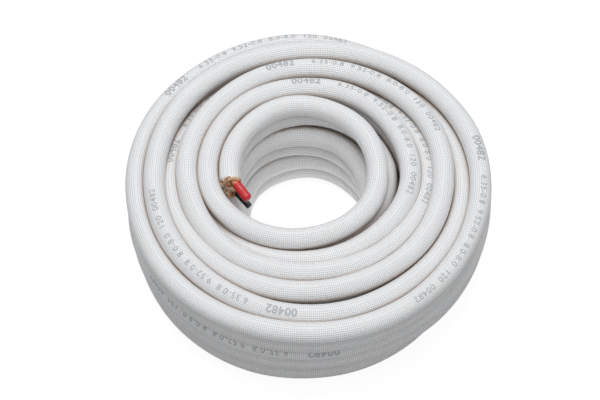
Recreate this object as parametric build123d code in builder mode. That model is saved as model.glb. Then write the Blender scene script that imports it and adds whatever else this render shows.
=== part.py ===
from build123d import *
from math import cos, radians, sin, sqrt
import os

# A coil of insulated twin copper tube for air conditioning lies flat on its end.
# Two copper tubes, each in a soft foam sleeve, run side by side as one pair.
# The pair is wound standing upright, the large tube over the small one, in three levels.
# Units are millimetres. +Z is up and -Y faces whoever stands in front of the coil.

# Copper tubes and their sleeves.
large_copper_diameter = 9.52
small_copper_diameter = 6.35
copper_wall = 0.8
insulation_thickness = 8.0

# Winding.
bore_radius = 76.0
turns_across = 6
levels = 3
pressed_depth = 0.5
sleeve_sides = 8
sunk_turns = (2, 4)
sunk_drop = 12.0

# Free ends of the pair, counted as angles seen from above, from the right, anticlockwise.
inner_end_angle = 190.0
outer_end_angle = 20.0
merge_angle = 20.0
copper_in_sleeve = 25.0
copper_clearance = 0.15

# Bare copper beyond the cut sleeves. Only the ends inside the bore are bent.
copper_lead = 5.0
copper_bend_radius = 22.0
copper_bend_angle = 26.0
copper_straight = 24.0

# Push-on end caps.
cap_length = 25.0
cap_wall = 0.7
cap_end = 1.6
cap_clearance = 0.05
cap_chamfer = 0.6

large_sleeve_radius = large_copper_diameter / 2 + insulation_thickness
small_sleeve_radius = small_copper_diameter / 2 + insulation_thickness
tube_rise = large_sleeve_radius + small_sleeve_radius - pressed_depth
turn_pitch = 2 * large_sleeve_radius - pressed_depth
sunk_pitch = sqrt(turn_pitch**2 - sunk_drop**2)

# Radius of each turn's centre line, from the bore outwards.
turn_radii = [bore_radius + large_sleeve_radius]
for turn in range(1, turns_across):
    beside_sunk = turn in sunk_turns or turn - 1 in sunk_turns
    turn_radii.append(turn_radii[-1] + (sunk_pitch if beside_sunk else turn_pitch))

# Height of each tube's centre line, from the floor up. The lowest sleeves press flat there.
small_heights = [small_sleeve_radius - pressed_depth + 2 * tube_rise * level for level in range(levels)]
large_heights = [height + tube_rise for height in small_heights]
top = levels - 1
inner, second = turn_radii[0], turn_radii[1]
next_to_last, outer = turn_radii[-2], turn_radii[-1]


def sleeve(radius):
    """Section of one sleeve. Its straight sides keep the turned coil light, flats up and down."""
    return RegularPolygon(radius, sleeve_sides, major_radius=False, rotation=180 / sleeve_sides)


def turn_top(turn):
    """Height of the uppermost tube's centre line in one turn of the winding."""
    return large_heights[top] - (sunk_drop if turn in sunk_turns else 0)


def upright_plane(angle):
    """Plane through the coil's axis whose x runs out at this angle and whose y runs up."""
    a = radians(angle)
    return Plane(origin=(0, 0, 0), x_dir=(cos(a), sin(a), 0), z_dir=(sin(a), -cos(a), 0))


def level_plane(angle, height):
    """Horizontal plane at this height whose x runs out at this angle."""
    a = radians(angle)
    return Plane(origin=(0, 0, height), x_dir=(cos(a), sin(a), 0), z_dir=(0, 0, 1))


def upright_axis(angle, offset, direction):
    """Upright axis that stands off the coil's own axis, along the given angle."""
    a = radians(angle)
    return Axis((offset * cos(a), offset * sin(a), 0), (0, 0, direction))


# The first turn starts on the left of the bore and the last one ends at the back on the right.
# Both planes run out away from the first turn's cut and towards the last turn's cut.
inner_plane_angle = inner_end_angle - 180
outer_plane_angle = outer_end_angle

# The last half of the first turn moves out by one pitch, into the second turn.
inner_shift = (second - inner) / 2
# The last half turn of the lowest level moves out in the same way, over the floor.
outer_shift = (outer - next_to_last) / 2

with BuildPart() as wound_coil:
    # Section of the closed turns: a core through the outermost tube centres, and every tube.
    with BuildSketch(Plane.XZ) as section:
        with BuildLine() as core_outline:
            top_row = [(turn_radii[turn], turn_top(turn)) for turn in range(turns_across - 1, 0, -1)]
            Polyline(
                (inner, small_heights[0]),
                (next_to_last, small_heights[0]),
                (next_to_last, small_heights[1]),
                (outer, small_heights[1]),
                *top_row,
                (second, large_heights[top - 1]),
                (inner, large_heights[top - 1]),
                close=True,
            )
        make_face()
        for turn, radius in enumerate(turn_radii):
            lowest = 1 if turn == turns_across - 1 else 0
            highest = top - 1 if turn == 0 else top
            for level in range(lowest, highest + 1):
                sunk = sunk_drop if level == top and turn in sunk_turns else 0
                with Locations((radius, large_heights[level] - sunk)):
                    sleeve(large_sleeve_radius)
                with Locations((radius, small_heights[level])):
                    sleeve(small_sleeve_radius)
    revolve(axis=Axis.Z)

    # First turn of the top level: half a turn round the bore from its cut end.
    with BuildSketch(upright_plane(inner_plane_angle)):
        with Locations((-inner, large_heights[top])):
            sleeve(large_sleeve_radius)
        with Locations((-inner, small_heights[top])):
            sleeve(small_sleeve_radius)
    revolve(axis=upright_axis(inner_plane_angle, 0, -1), revolution_arc=180)

    # Its second half swings out by one pitch and runs into the second turn.
    with BuildSketch(upright_plane(inner_plane_angle)):
        with Locations((inner, large_heights[top])):
            sleeve(large_sleeve_radius)
        with Locations((inner, small_heights[top])):
            sleeve(small_sleeve_radius)
    revolve(axis=upright_axis(inner_plane_angle, -inner_shift, -1), revolution_arc=180 - merge_angle)

    # Last half turn of the lowest level, out of the turn before it and up to its cut end.
    with BuildSketch(upright_plane(outer_plane_angle)):
        with Locations((outer, large_heights[0])):
            sleeve(large_sleeve_radius)
        with Locations((outer, small_heights[0])):
            sleeve(small_sleeve_radius)
    revolve(axis=upright_axis(outer_plane_angle, outer_shift, 1), revolution_arc=180 - merge_angle)

    # The floor presses the lowest sleeves flat.
    split(bisect_by=Plane.XY, keep=Keep.TOP)

# The four free tube ends: name, copper size, height, plane, side of the axis, distance and bend.
inner_end = {"angle": inner_plane_angle, "side": -1, "distance": inner, "bend": copper_bend_angle}
outer_end = {"angle": outer_plane_angle, "side": 1, "distance": outer, "bend": 0}
tube_ends = [
    ("inner_large", large_copper_diameter, large_heights[top], inner_end),
    ("inner_small", small_copper_diameter, small_heights[top], inner_end),
    ("outer_large", large_copper_diameter, large_heights[0], outer_end),
    ("outer_small", small_copper_diameter, small_heights[0], outer_end),
]

# Bores in the cut ends, where the copper shows inside its sleeve.
with BuildPart(mode=Mode.PRIVATE) as sleeve_bores:
    for name, copper_diameter, height, end in tube_ends:
        with BuildSketch(upright_plane(end["angle"])):
            with Locations((end["side"] * end["distance"], height)):
                Circle(copper_diameter / 2 + copper_clearance)
        extrude(amount=-copper_in_sleeve)

with wound_coil:
    add(sleeve_bores.part, mode=Mode.SUBTRACT)

os.makedirs("parts", exist_ok=True)
wound_coil.part.label = "wound_coil"
export_step(wound_coil.part, "parts/wound_coil.step")

for name, copper_diameter, height, end in tube_ends:
    side = end["side"]
    x = side * end["distance"]

    # The copper leaves its sleeve straight. In the bore it then bends a little to the right.
    with BuildLine(level_plane(end["angle"], height)) as route:
        if end["bend"]:
            bend = CenterArc(
                (x - side * copper_bend_radius, -copper_lead), copper_bend_radius,
                90 - 90 * side, -side * end["bend"],
            )
            Line((x, copper_in_sleeve), bend @ 0)
            PolarLine(bend @ 1, copper_straight, direction=bend % 1)
        else:
            Line((x, copper_in_sleeve), (x, -copper_lead - copper_straight))

    with BuildPart() as copper_tube:
        with BuildSketch(Plane(origin=route.line @ 0, z_dir=route.line % 0)):
            Circle(copper_diameter / 2)
            Circle(copper_diameter / 2 - copper_wall, mode=Mode.SUBTRACT)
        sweep(path=route.line)
    copper_tube.part.label = name + "_copper_tube"
    export_step(copper_tube.part, "parts/" + copper_tube.part.label + ".step")

    # A soft plastic cap is pushed over the tube until the tube meets its end.
    cap_radius = copper_diameter / 2 + cap_clearance
    back_along_tube = Plane(origin=route.line @ 1, z_dir=-(route.line % 1))
    with BuildPart() as cap:
        with BuildSketch(back_along_tube.offset(-cap_end)):
            Circle(cap_radius + cap_wall)
        extrude(amount=cap_length)
        with BuildSketch(back_along_tube):
            Circle(cap_radius)
        extrude(amount=cap_length, mode=Mode.SUBTRACT)
        closed_end = cap.faces().sort_by(Axis(back_along_tube.origin, back_along_tube.z_dir))[0]
        chamfer(closed_end.edges(), length=cap_chamfer)
    cap.part.label = name + "_end_cap"
    export_step(cap.part, "parts/" + cap.part.label + ".step")
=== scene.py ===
import math

import bmesh
import bpy
import numpy as np
from mathutils import Matrix, Vector


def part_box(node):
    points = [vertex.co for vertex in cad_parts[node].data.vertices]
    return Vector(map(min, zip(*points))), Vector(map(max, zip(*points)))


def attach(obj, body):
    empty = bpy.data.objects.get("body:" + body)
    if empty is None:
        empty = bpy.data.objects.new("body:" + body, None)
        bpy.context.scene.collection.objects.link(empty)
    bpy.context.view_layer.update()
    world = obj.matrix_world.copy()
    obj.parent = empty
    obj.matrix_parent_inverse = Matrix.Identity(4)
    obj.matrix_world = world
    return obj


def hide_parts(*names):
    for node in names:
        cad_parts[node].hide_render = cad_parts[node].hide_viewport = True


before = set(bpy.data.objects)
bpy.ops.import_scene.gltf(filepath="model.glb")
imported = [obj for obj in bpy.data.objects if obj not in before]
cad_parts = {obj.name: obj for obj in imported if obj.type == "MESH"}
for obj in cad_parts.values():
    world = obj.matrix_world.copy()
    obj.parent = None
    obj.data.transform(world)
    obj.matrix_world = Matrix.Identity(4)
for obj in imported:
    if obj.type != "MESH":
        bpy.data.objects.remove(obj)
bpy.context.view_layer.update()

# Camera.
# It stands in front of the coil and looks down on it at 58 degrees through a long lens, in a
# frame of 600 by 400. It aims a little to the left of the bore, as the photograph does.
camera_place = Vector((0.0, -1.0012, 1.6802))
camera_aim = Vector((-0.0053, -0.0051, 0.072))
camera_roll = math.radians(0.18)

camera_data = bpy.data.cameras.new("camera")
camera_data.lens = 93.6
camera_data.sensor_width = 36.0
camera_data.sensor_fit = "HORIZONTAL"
camera = bpy.data.objects.new("camera", camera_data)
bpy.context.scene.collection.objects.link(camera)
look = (camera_aim - camera_place).to_track_quat("-Z", "Y").to_matrix().to_4x4()
roll = Matrix.Rotation(camera_roll, 4, "Z")
camera.matrix_world = Matrix.Translation(camera_place) @ look @ roll
bpy.context.scene.camera = camera

# Winding of the pair.
# Two copper tubes in foam sleeves run side by side, the large one on top, as one long pair. It was
# wound by hand from the cut end in the bore: outwards over the top, inwards through the middle
# level and outwards again on the floor. Turns are counted from the inner end, clockwise from above.
large_sleeve_radius = 0.01276
small_sleeve_radius = 0.011175
pair_rise = 0.023435
level_rise = 2 * pair_rise
top_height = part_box("wound_coil")[1].z - large_sleeve_radius
start_angle, finish_angle = math.radians(190.0), math.radians(20.0)
winding_turns = 17.0 + (start_angle - finish_angle) / math.tau

# Top level, one row for each turn: distance of the pair from the middle of the bore, in mm, where
# it passes the left, back, right and front. The hand winding pushes the rings to the front.
top_turns = [
    (88.8, 95.5, 87.0, 90.2),
    (113.5, 121.5, 125.5, 117.0),
    (126.0, 133.0, 146.0, 138.4),
    (139.0, 148.5, 165.0, 162.0),
    (159.0, 160.0, 185.5, 190.5),
    (178.5, 177.0, 205.5, 214.9),
]
# How far the pair has sunk between its neighbours at the same places, in mm.
top_drops = [
    (0, 0, 0, 0),
    (0, 0, 0, 8),
    (22, 24, 13, 0),
    (0, 0, 0, 0),
    (12, 27, 15, 3),
    (0, 0, 0, 0),
]
# The seventh turn goes down at the back on the right, on to the middle level. Both lists run on
# from here in quarter turns.
distances = [d for row in top_turns for d in row] + [201.0, 199.0]
drops = [d for row in top_drops for d in row] + [13.0, 13.0]

# Middle level: inwards from its outermost turn to the wall of the bore. Under the sunk seventh
# turn the soft sleeves are squeezed.
middle_quarters, middle_squeezed, middle_squeeze = range(26, 46), (28, 29), 9.0
middle_start, middle_end = 6.5, 11.25
middle_outer, middle_inner, middle_forward = 214.0, 84.0, 5.5
middle_drop = level_rise * 1000
for quarter in middle_quarters:
    turns = quarter / 4
    distance = np.interp(turns, (middle_start, middle_end), (middle_outer, middle_inner))
    forward = middle_forward * (distance - middle_inner) / (middle_outer - middle_inner)
    distances.append(distance - forward * math.sin(start_angle - math.tau * turns))
    drops.append(middle_drop + (middle_squeeze if quarter in middle_squeezed else 0.0))

# Lowest level: the pair slips down in front of the bore and winds outwards over the floor.
lowest_quarters, lowest_squeezed, lowest_squeeze = range(46, 71), (68, 69), 4.0
slip_quarter, lowest_start = 46, 12.25
lowest_inner, lowest_outer, lowest_forward = 79.5, 201.6, 15.0
lowest_drop = 2 * middle_drop
for quarter in lowest_quarters:
    turns = quarter / 4
    growth = (max(turns, lowest_start) - lowest_start) / (winding_turns - lowest_start)
    ahead = math.sin(finish_angle) - math.sin(start_angle - math.tau * turns)
    spread = (lowest_outer - lowest_inner) * growth
    distances.append(lowest_inner + spread + lowest_forward * growth * ahead)
    drops.append(lowest_drop + (lowest_squeeze if quarter in lowest_squeezed else 0.0))
drops[slip_quarter] = middle_drop
drops[slip_quarter + 1] = (middle_drop + lowest_drop) / 2
distances.append(lowest_outer)
drops.append(lowest_drop)

# On the right of the bore the first turn leans, and its small tube shows outside the large one.
lean_turns, lean_out = (0, 0.25, 0.5, 0.7, 0.85), (0, -0.001, 0.014, 0.006, 0)
# A pair laid by hand wavers in and out a little.
waver, wavers_in_turn = 0.0006, 5.3
ring_count = 2260


def smooth(values, turns):
    """Values given at every quarter turn, joined without overshoot."""
    values = np.array(values, float)
    steps = np.diff(values)
    slopes = np.zeros(len(values))
    same = steps[:-1] * steps[1:] > 0
    slopes[1:-1][same] = 2 * steps[:-1][same] * steps[1:][same] / (steps[:-1] + steps[1:])[same]
    at = np.clip(turns * 4, 0, len(values) - 1.000001)
    i = at.astype(int)
    f = at - i
    return (
        values[i] * (2 * f**3 - 3 * f**2 + 1) + values[i + 1] * (3 * f**2 - 2 * f**3)
        + slopes[i] * (f**3 - 2 * f**2 + f) + slopes[i + 1] * (f**3 - f**2)
    )


def winding(turns, which):
    """Points on the centre line of the large or the small tube, in metres."""
    angle = start_angle - math.tau * turns
    away = smooth(distances, turns) / 1000
    height = top_height - smooth(drops, turns) / 1000
    if which == "small":
        lean = np.interp(turns, lean_turns, lean_out)
        away = away + lean
        height = height - np.sqrt(pair_rise**2 - lean**2)
    away = away + waver * np.sin(wavers_in_turn * math.tau * turns) * np.clip(turns * 4, 0, 1)
    return np.stack((away * np.cos(angle), away * np.sin(angle), height), -1)


def route(which):
    """The winding as points 7 mm apart: turns, length so far, point, forward, outward and up."""
    turns = np.linspace(0, winding_turns, ring_count)
    line = winding(turns, which)
    steps = np.linalg.norm(np.diff(line, axis=0), axis=1)
    along = np.concatenate(([0], np.cumsum(steps)))
    tangent = np.gradient(line, along, axis=0)
    tangent /= np.linalg.norm(tangent, axis=1)[:, None]
    outward = np.cross((0, 0, 1.0), tangent)
    outward /= np.linalg.norm(outward, axis=1)[:, None]
    upward = np.cross(tangent, outward)
    return turns, along, line, tangent, outward, upward


# Sleeves.
# Each tube has its own soft sleeve of foam with a film outside, sawn through at both ends. The
# saw tears the foam, and a bore is left in it that the copper stands in.
sleeve_bore_depth = 0.02
firm_core_radius = 0.01
torn_shares = (0.0, 0.2, 0.4, 0.6, 0.8, 0.95)


def swell(along):
    """How much the soft sleeve bulges and thins, about every 0.1 m and slowly every 0.27 m."""
    return 1 + 0.010 * np.sin(61 * along) + 0.008 * np.sin(23 * along + 1)


def torn(around, share):
    """How far the saw has left the foam standing out, round the cut and from bore to rim."""
    return 0.0005 + 0.0009 * np.sin(3 * around + 9 * share) + 0.0006 * np.sin(7 * around + 25 * share)


def wound_sleeve(name, which, radius, bore_radius, sides):
    """One sleeve along the winding, as rings of points: cut face, film and cut face."""
    turns, along, line, tangent, outward, upward = route(which)
    around = np.linspace(0, math.tau, sides, endpoint=False)

    def ring(i, size, shift=0.0):
        r = size * (swell(along[i]) if size > firm_core_radius else 1)
        points = (
            line[i] + tangent[i] * shift
            + r * np.sin(around)[:, None] * outward[i] + r * np.cos(around)[:, None] * upward[i]
        )
        # The floor presses the lowest turn flat.
        points[:, 2] = np.maximum(points[:, 2], 0.0)
        return points

    def cut_face(i, way):
        """Rings across one sawn end, from the bottom of the bore out to the rim."""
        face = [ring(i, bore_radius, -way * sleeve_bore_depth)]
        for share in torn_shares:
            points = ring(i, bore_radius + (radius - bore_radius) * share)
            face.append(points + (way * torn(around, share))[:, None] * tangent[i])
        return face

    last = len(turns) - 1
    start, finish = cut_face(0, -1), cut_face(last, 1)[::-1]
    rings = start + [ring(i, radius) for i in range(len(turns))] + finish
    uv_along = [0] * len(start) + list(along) + [along[-1]] * len(finish)
    uv_around = np.arange(sides + 1) / sides * math.tau * radius

    count = len(rings)
    faces, foam, uvs = [], [], []
    for i in range(count - 1):
        for j in range(sides):
            k = (j + 1) % sides
            faces.append((i * sides + j, i * sides + k, (i + 1) * sides + k, (i + 1) * sides + j))
            foam.append(i < len(start) or i >= count - len(finish) - 1)
            for di, dj in ((0, 0), (0, 1), (1, 1), (1, 0)):
                uvs += (uv_along[i + di], uv_around[j + dj])
    # The bottoms of the two bores.
    faces.append(tuple(range(sides))[::-1])
    faces.append(tuple((count - 1) * sides + j for j in range(sides)))
    foam += [True, True]
    uvs += [0.0] * 4 * sides

    mesh = bpy.data.meshes.new(name)
    mesh.from_pydata(np.concatenate(rings).tolist(), [], faces)
    mesh.uv_layers.new(name="along_and_around").data.foreach_set("uv", uvs)
    mesh.polygons.foreach_set("material_index", [1 if f else 0 for f in foam])
    mesh.polygons.foreach_set("use_smooth", [not f for f in foam])
    mesh.update()
    bm = bmesh.new()
    bm.from_mesh(mesh)
    bmesh.ops.recalc_face_normals(bm, faces=bm.faces)
    bm.to_mesh(mesh)
    bm.free()
    sleeve = bpy.data.objects.new(name, mesh)
    bpy.context.scene.collection.objects.link(sleeve)
    return sleeve


def colour(text):
    """An sRGB hex colour as the linear values that a shader socket takes."""
    parts = [int(text[i:i + 2], 16) / 255 for i in (1, 3, 5)]
    return tuple(c / 12.92 if c <= 0.04045 else ((c + 0.055) / 1.055) ** 2.4 for c in parts) + (1.0,)


def node(tree, kind, links=(), **settings):
    """Adds a node, sets its values and sockets by name, and links (socket, from output)."""
    new = tree.nodes.new(kind)
    sockets = settings.pop("sockets", {})
    for key, value in settings.items():
        setattr(new, key, value)
    for key, value in sockets.items():
        new.inputs[key].default_value = value
    for key, output in links:
        tree.links.new(output, new.inputs[key])
    return new


def material(name):
    """A new material with its tree and its Principled shader."""
    new = bpy.data.materials.new(name)
    new.use_nodes = True
    return new, new.node_tree, new.node_tree.nodes["Principled BSDF"]


# Sleeve film: white polyethylene film, embossed with a fine square grid and laminated to the
# foam. The real grid is about 1.3 mm; it is drawn at 2.2 mm, so that it still shows at this size.
# A soft satin, with grey painted into the pressed lines as their shade, and faint smudges from
# handling.
film_pitch_along, film_pitch_around = 0.0022, 0.0022 * 1.15
smudges_per_metre, grains_per_metre = 28.0, 420.0
film, tree, shader = material("white_polyethylene_film_embossed")
place = node(tree, "ShaderNodeUVMap", uv_map="along_and_around")
split = node(tree, "ShaderNodeSeparateXYZ", [("Vector", place.outputs[0])])
waves = []
for axis, pitch in (("X", film_pitch_along), ("Y", film_pitch_around)):
    turn = node(tree, "ShaderNodeMath", [(0, split.outputs[axis])], operation="MULTIPLY",
                sockets={1: math.tau / pitch})
    waves.append(node(tree, "ShaderNodeMath", [(0, turn.outputs[0])], operation="SINE"))
ribs = node(tree, "ShaderNodeMath", [(0, waves[0].outputs[0]), (1, waves[1].outputs[0])],
            operation="MAXIMUM")
recess = node(tree, "ShaderNodeMapRange", [("Value", ribs.outputs[0])],
              sockets={"From Min": -1.0, "From Max": 1.0, "To Min": 0.0, "To Max": 1.0})
# Painted shade: the pressed lines of the grid are painted grey and the raised ribs near white.
grid_with_painted_shade = node(tree, "ShaderNodeMix", [("Factor", recess.outputs[0])], data_type="RGBA",
               sockets={6: colour("#B7B7B9"), 7: colour("#FCFCFD")})
smudge = node(tree, "ShaderNodeTexNoise", [("Vector", place.outputs[0])],
              sockets={"Scale": smudges_per_metre, "Detail": 4.0, "Roughness": 0.6})
tone = node(tree, "ShaderNodeMapRange", [("Value", smudge.outputs["Fac"])],
            sockets={"From Min": 0.3, "From Max": 0.7, "To Min": 0.0, "To Max": 0.35})
# Random smudges from handling, laid over the grid and its painted shade.
smudges_and_painted_grid_shade = node(tree, "ShaderNodeMix", [("Factor", tone.outputs[0]), (6, grid_with_painted_shade.outputs[2])],
            data_type="RGBA", sockets={7: colour("#E6E3DF")})
# Painted shade: deep between the turns, where ambient occlusion finds the sleeves close, the white film
# is painted a darker warm beige.
shade = node(tree, "ShaderNodeAmbientOcclusion", samples=8, sockets={"Distance": 0.014})
depth = node(tree, "ShaderNodeMapRange", [("Value", shade.outputs["AO"])],
             sockets={"From Min": 0.0, "From Max": 0.6, "To Min": 0.85, "To Max": 0.0})
painted_crease_shade = node(tree, "ShaderNodeMix", [("Factor", depth.outputs[0]), (6, smudges_and_painted_grid_shade.outputs[2])],
            data_type="RGBA", sockets={7: colour("#BDA58F")})
tree.links.new(painted_crease_shade.outputs[2], shader.inputs["Base Color"])
grain = node(tree, "ShaderNodeTexNoise", [("Vector", place.outputs[0])],
             sockets={"Scale": grains_per_metre, "Detail": 2.0, "Roughness": 0.6})
relief = node(tree, "ShaderNodeMath", [(0, grain.outputs["Fac"]), (1, recess.outputs[0])],
              operation="ADD")
bump = node(tree, "ShaderNodeBump", [("Height", relief.outputs[0])],
            sockets={"Strength": 0.9, "Distance": 0.0006})
tree.links.new(bump.outputs[0], shader.inputs["Normal"])
shader.inputs["Roughness"].default_value = 0.55
shader.inputs["IOR"].default_value = 1.5

# Cut foam: cream cross-linked polyethylene foam, sawn through, with small closed cells and a few
# brown smears that the saw and the copper left.
cells_per_metre, smears_per_metre = 700.0, 170.0
foam, tree, shader = material("cream_polyethylene_foam_cut")
place = node(tree, "ShaderNodeTexCoord")
cells = node(tree, "ShaderNodeTexVoronoi", [("Vector", place.outputs["Object"])],
             sockets={"Scale": cells_per_metre})
cream = node(tree, "ShaderNodeMix", [("Factor", cells.outputs["Distance"])], data_type="RGBA",
             sockets={6: colour("#E9C99E"), 7: colour("#FFF0D8")})
smear = node(tree, "ShaderNodeTexNoise", [("Vector", place.outputs["Object"])],
             sockets={"Scale": smears_per_metre, "Detail": 3.0, "Roughness": 0.6})
brown = node(tree, "ShaderNodeMapRange", [("Value", smear.outputs["Fac"])],
             sockets={"From Min": 0.47, "From Max": 0.58, "To Min": 0.0, "To Max": 0.9})
smeared = node(tree, "ShaderNodeMix", [("Factor", brown.outputs[0]), (6, cream.outputs[2])],
               data_type="RGBA", sockets={7: colour("#A4532A")})
tree.links.new(smeared.outputs[2], shader.inputs["Base Color"])
bump = node(tree, "ShaderNodeBump", [("Height", cells.outputs["Distance"])],
            sockets={"Strength": 0.6, "Distance": 0.0004})
tree.links.new(bump.outputs[0], shader.inputs["Normal"])
shader.inputs["Roughness"].default_value = 0.85

large_sleeve = wound_sleeve("large_tube_sleeve", "large", large_sleeve_radius, 0.0049, 20)
small_sleeve = wound_sleeve("small_tube_sleeve", "small", small_sleeve_radius, 0.0033, 18)
for sleeve in (large_sleeve, small_sleeve):
    sleeve.data.materials.append(film)
    sleeve.data.materials.append(foam)
    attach(sleeve, "root")
    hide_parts("wound_coil")

# Print: grey plain numbers that the film maker rolls on to the large sleeve, a bold group and a row
# of thinner ones, every 0.82 m. It is read clockwise, and its figures stand outwards.
print_pitch, print_start_turns, print_end_turns = 0.82, 1.256, 7.4
print_height = 0.00012
# On its way down to the middle level the tube twists, and the print turns out.
print_tilt, print_tilt_below = math.radians(12), math.radians(44)
twist_turns = (6.2, 6.7)
bpy.ops.object.select_all(action="DESELECT")
groups = []
for body, size, spacing, weight, start in (
    ("00482", 0.0132, 1.08, 0.00035, 0.0),
    ("6.35-0.8  9.52-0.8  8.0-8.0  120  00482", 0.0108, 1.12, 0.00004, 0.056),
):
    bpy.ops.object.text_add()
    text = bpy.context.active_object
    text.data.body = body
    text.data.size = size
    text.data.space_character = spacing
    text.data.offset = weight
    text.data.resolution_u = 3
    text.data.align_y = "CENTER"
    bpy.ops.object.convert(target="MESH")
    text.data.transform(Matrix.Translation((start, 0, 0)))
    groups.append(text)
    bpy.ops.object.select_all(action="DESELECT")
for text in groups:
    text.select_set(True)
bpy.context.view_layer.objects.active = groups[0]
bpy.ops.object.join()
numbers = bpy.context.active_object
numbers.name = "printed_numbers"

# The figures are cut into strips 1 mm high and 6 mm long, so that they bend with the sleeve.
bm = bmesh.new()
bm.from_mesh(numbers.data)
length = max(v.co.x for v in bm.verts)
cuts = [((0, y / 1000, 0), (0, 1, 0)) for y in range(-5, 6)]
cuts += [((x, 0, 0), (1, 0, 0)) for x in np.arange(0.004, length, 0.006)]
for point, normal in cuts:
    everything = bm.verts[:] + bm.edges[:] + bm.faces[:]
    bmesh.ops.bisect_plane(bm, geom=everything, plane_co=point, plane_no=normal)
bmesh.ops.triangulate(bm, faces=bm.faces)
flat = np.array([v.co[:2] for v in bm.verts])
corners = np.array([[v.index for v in f.verts] for f in bm.faces])
bm.free()

# Each row of print is laid on the sleeve, one pitch after the last.
turns, along, line, tangent, outward, upward = route("large")
first, last = np.interp((print_start_turns, print_end_turns), turns, along)
points, faces = [], []
for start in np.arange(first, last, print_pitch):
    at = start + flat[:, 0]
    twist = np.interp(np.interp(at, along, turns), twist_turns, (print_tilt, print_tilt_below))
    tilt = (twist + flat[:, 1] / large_sleeve_radius)[:, None]
    size = (large_sleeve_radius * swell(at) + print_height)[:, None]
    centre, out, up = [
        np.stack([np.interp(at, along, v[:, i]) for i in range(3)], -1) for v in (line, outward, upward)
    ]
    faces.append(corners + len(flat) * len(points))
    points.append(centre + size * (np.sin(tilt) * out + np.cos(tilt) * up))
numbers.data.clear_geometry()
numbers.data.from_pydata(np.concatenate(points).tolist(), [], np.concatenate(faces).tolist())
numbers.matrix_world = Matrix.Identity(4)

# Marking ink: grey, thin and a little broken where the film's grid lifts it.
ink_breaks_per_metre = 600.0
ink, tree, shader = material("grey_marking_ink_printed")
place = node(tree, "ShaderNodeTexCoord")
broken = node(tree, "ShaderNodeTexNoise", [("Vector", place.outputs["Object"])],
              sockets={"Scale": ink_breaks_per_metre, "Detail": 2.0, "Roughness": 0.7})
greys = node(tree, "ShaderNodeMix", [("Factor", broken.outputs["Fac"])], data_type="RGBA",
             sockets={6: colour("#93989C"), 7: colour("#CACDCF")})
tree.links.new(greys.outputs[2], shader.inputs["Base Color"])
shader.inputs["Roughness"].default_value = 0.6
numbers.data.materials.clear()
numbers.data.materials.append(ink)
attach(numbers, "root")

# Copper: the four bare tube ends, drawn bright and a little dulled by handling. In the bore both
# lean against the side of their soft sleeves and stand to the right.
dull_patches_per_metre = 160.0
copper, tree, shader = material("copper_drawn_bright")
place = node(tree, "ShaderNodeTexCoord")
dull = node(tree, "ShaderNodeTexNoise", [("Vector", place.outputs["Object"])],
            sockets={"Scale": dull_patches_per_metre, "Detail": 3.0, "Roughness": 0.6})
reds = node(tree, "ShaderNodeMix", [("Factor", dull.outputs["Fac"])], data_type="RGBA",
            sockets={6: colour("#F0B08C"), 7: colour("#D68A62")})
tree.links.new(reds.outputs[2], shader.inputs["Base Color"])
rough = node(tree, "ShaderNodeMapRange", [("Value", dull.outputs["Fac"])],
             sockets={"To Min": 0.22, "To Max": 0.42})
tree.links.new(rough.outputs[0], shader.inputs["Roughness"])
shader.inputs["Metallic"].default_value = 1.0

copper_radii = {"large": 0.00476, "small": 0.003175}
copper_in_sleeve = 0.019
cap_end = 0.0016
# End of the winding, tube, length from the foam to the tip of the copper's cap, and lean.
free_ends = [
    ("inner", "large", 0.031, math.radians(26)),
    ("inner", "small", 0.028, math.radians(31)),
    ("outer", "large", 0.0306, 0.0),
    ("outer", "small", 0.0306, 0.0),
]
tips = {}
for end, which, reach, lean in free_ends:
    turns, along, line, tangent, outward, upward = route(which)
    at, way = (0, -1) if end == "inner" else (-1, 1)
    cut, leaving, inwards = line[at], way * tangent[at], -outward[at]
    # The lean grows smoothly over the stretch that lies in the foam.
    steps = np.linspace(-copper_in_sleeve, reach - cap_end, 40)
    share = np.clip((steps + copper_in_sleeve) / copper_in_sleeve, 0, 1)
    heading = (lean * share**2 * (3 - 2 * share))[:, None]
    ahead = np.cos(heading) * leaving + np.sin(heading) * inwards
    moved = np.concatenate((np.zeros((1, 3)), np.cumsum(ahead[1:] * (steps[1] - steps[0]), axis=0)))
    points = cut - copper_in_sleeve * leaving + moved
    name = f"{end}_{which}_copper_end"
    curve = bpy.data.curves.new(name, "CURVE")
    curve.dimensions = "3D"
    curve.bevel_depth = copper_radii[which]
    curve.bevel_resolution = 6
    curve.use_fill_caps = True
    spline = curve.splines.new("POLY")
    spline.points.add(len(points) - 1)
    spline.points.foreach_set("co", np.column_stack((points, np.ones(len(points)))).ravel())
    piece = bpy.data.objects.new(name, curve)
    bpy.context.scene.collection.objects.link(piece)
    bpy.ops.object.select_all(action="DESELECT")
    piece.select_set(True)
    bpy.context.view_layer.objects.active = piece
    bpy.ops.object.convert(target="MESH")
    piece = bpy.context.active_object
    bpy.ops.object.shade_smooth_by_angle(angle=math.radians(40))
    piece.data.materials.append(copper)
    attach(piece, "root")
    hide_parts(f"{end}_{which}_copper_tube")
    tips[end, which] = Vector(points[-1]), Vector(ahead[-1])

# End caps: soft PVC caps, dip moulded with a round end and pushed over the copper, red on the large
# tube and black on the small one. Glossy, with the shallow waves that dipping leaves.
cap_length, cap_wall, cap_clearance, cap_rounding = 0.025, 0.0007, 0.00005, 0.0032
dip_waves_per_metre = 260.0


def pick_end(piece, way):
    """Selects the flat end that faces up or down, in edit mode."""
    bm = bmesh.from_edit_mesh(piece.data)
    bpy.ops.mesh.select_all(action="DESELECT")
    for face in bm.faces:
        if face.normal.z * way > 0.99 and len(face.verts) > 4:
            face.select_set(True)
    bm.select_flush(True)
    bmesh.update_edit_mesh(piece.data)


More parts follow.
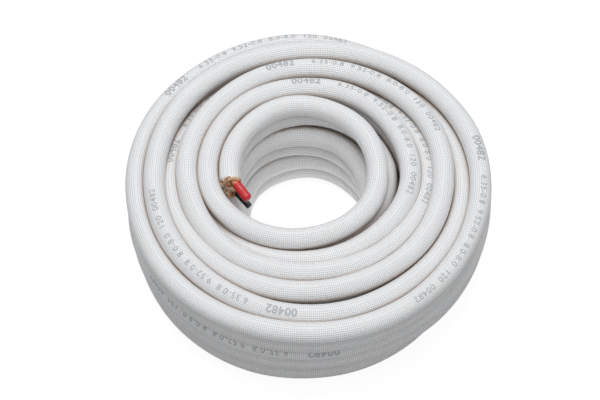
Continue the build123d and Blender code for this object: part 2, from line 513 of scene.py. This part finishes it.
for which, cap_name, thin_colour, thick_colour in (
    ("large", "red", "#CE0E1C", "#B80A16"),
    ("small", "black", "#151517", "#1E1E20"),
):
    skin, tree, shader = material(f"{cap_name}_pvc_dip_moulded")
    place = node(tree, "ShaderNodeTexCoord")
    waves = node(tree, "ShaderNodeTexNoise", [("Vector", place.outputs["Object"])],
                 sockets={"Scale": dip_waves_per_metre, "Detail": 2.0})
    bump = node(tree, "ShaderNodeBump", [("Height", waves.outputs["Fac"])],
                sockets={"Strength": 0.5, "Distance": 0.0008})
    tree.links.new(bump.outputs[0], shader.inputs["Normal"])
    tint = node(tree, "ShaderNodeMix", [("Factor", waves.outputs["Fac"])], data_type="RGBA",
                sockets={6: colour(thin_colour), 7: colour(thick_colour)})
    tree.links.new(tint.outputs[2], shader.inputs["Base Color"])
    shader.inputs["Roughness"].default_value = 0.14
    shader.inputs["IOR"].default_value = 1.53
    radius = copper_radii[which] + cap_clearance + cap_wall
    rounding = cap_rounding * radius / (copper_radii["large"] + cap_wall)
    for end in ("inner", "outer"):
        tip, ahead = tips[end, which]
        bpy.ops.object.select_all(action="DESELECT")
        bpy.ops.mesh.primitive_cylinder_add(vertices=40, radius=radius, depth=cap_length)
        cap = bpy.context.active_object
        cap.name = f"{end}_{cap_name}_cap"
        # The closed end is rounded, and the open end is hollowed out for the tube.
        bpy.ops.object.mode_set(mode="EDIT")
        bpy.ops.mesh.select_mode(type="FACE")
        pick_end(cap, 1)
        bpy.ops.mesh.bevel(offset=rounding, segments=8)
        pick_end(cap, -1)
        bpy.ops.mesh.inset(thickness=cap_wall)
        hollow = {"value": (0, 0, cap_length - cap_end)}
        bpy.ops.mesh.extrude_region_move(TRANSFORM_OT_translate=hollow)
        bpy.ops.object.mode_set(mode="OBJECT")
        turned = ahead.to_track_quat("Z", "Y").to_matrix().to_4x4()
        middle = tip + ahead * (cap_end - cap_length / 2)
        cap.data.transform(Matrix.Translation(middle) @ turned)
        bpy.ops.object.shade_smooth_by_angle(angle=math.radians(40))
        cap.data.materials.append(skin)
        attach(cap, "root")
        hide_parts(f"{end}_{which}_end_cap")

# Studio floor: a sweep of white paper that keeps a soft shadow. It glows only where a background is
# seen, so that the picture stays white and no light from it falls on the coil.
floor_glow, world_fill = 0.88, 0.52


def sees_white(tree):
    """1 for camera, glossy and transmission rays, which see a white background; 0 for the rest."""
    rays = node(tree, "ShaderNodeLightPath")
    seen = node(tree, "ShaderNodeMath", operation="MAXIMUM",
                links=[(0, rays.outputs["Is Camera Ray"]), (1, rays.outputs["Is Glossy Ray"])])
    return node(tree, "ShaderNodeMath", operation="MAXIMUM",
                links=[(0, seen.outputs[0]), (1, rays.outputs["Is Transmission Ray"])]).outputs[0]


bpy.ops.object.select_all(action="DESELECT")
bpy.ops.mesh.primitive_plane_add(size=12.0, location=(0, 0, -0.0005))
floor = bpy.context.active_object
floor.name = "floor"
paper, tree, shader = material("white_paper_sweep")
shader.inputs["Base Color"].default_value = colour("#7C7C7C")
shader.inputs["Roughness"].default_value = 0.9
glow = node(tree, "ShaderNodeEmission", sockets={"Color": (1, 1, 1, 1), "Strength": floor_glow})
dark = node(tree, "ShaderNodeEmission", sockets={"Color": (0, 0, 0, 1), "Strength": 0.0})
seen = node(tree, "ShaderNodeMixShader",
            [(0, sees_white(tree)), (1, dark.outputs[0]), (2, glow.outputs[0])])
both = node(tree, "ShaderNodeAddShader", [(0, shader.outputs[0]), (1, seen.outputs[0])])
tree.links.new(both.outputs[0], tree.nodes["Material Output"].inputs["Surface"])
floor.data.materials.append(paper)

world = bpy.data.worlds.new("studio")
world.use_nodes = True
tree = world.node_tree
tree.nodes.clear()
fill = node(tree, "ShaderNodeBackground",
            sockets={"Color": (0.97, 0.985, 1, 1), "Strength": world_fill})
white = node(tree, "ShaderNodeBackground", sockets={"Color": (1, 1, 1, 1), "Strength": 1.0})
seen = node(tree, "ShaderNodeMixShader",
            [(0, sees_white(tree)), (1, fill.outputs[0]), (2, white.outputs[0])])
node(tree, "ShaderNodeOutputWorld", [("Surface", seen.outputs[0])])
bpy.context.scene.world = world
bpy.context.scene.view_settings.view_transform = "Standard"

# Lamps: a large soft one above and behind, a weak one above and in front, and the light that white
# paper under the bore throws up its walls.
for name, place, aim, size, power in (
    ("softbox_behind", (-0.1, 0.45, 2.2), (0, 0, 0), 1.6, 24.0),
    ("softbox_front", (0.2, -1.1, 2.1), (0, 0, 0), 1.6, 4.5),
    ("bore_bounce", (0, 0, 0.002), (0, 0, 1), 0.13, 0.042),
):
    lamp_data = bpy.data.lights.new(name, "AREA")
    lamp_data.shape = "DISK"
    lamp_data.size = size
    lamp_data.energy = power
    lamp = bpy.data.objects.new(name, lamp_data)
    towards = (Vector(aim) - Vector(place)).to_track_quat("-Z", "Y").to_matrix().to_4x4()
    lamp.matrix_world = Matrix.Translation(place) @ towards
    bpy.context.scene.collection.objects.link(lamp)
    if name == "bore_bounce":
        lamp.visible_camera = False
    else:
        lamp_data.color = (0.97, 0.985, 1.0)
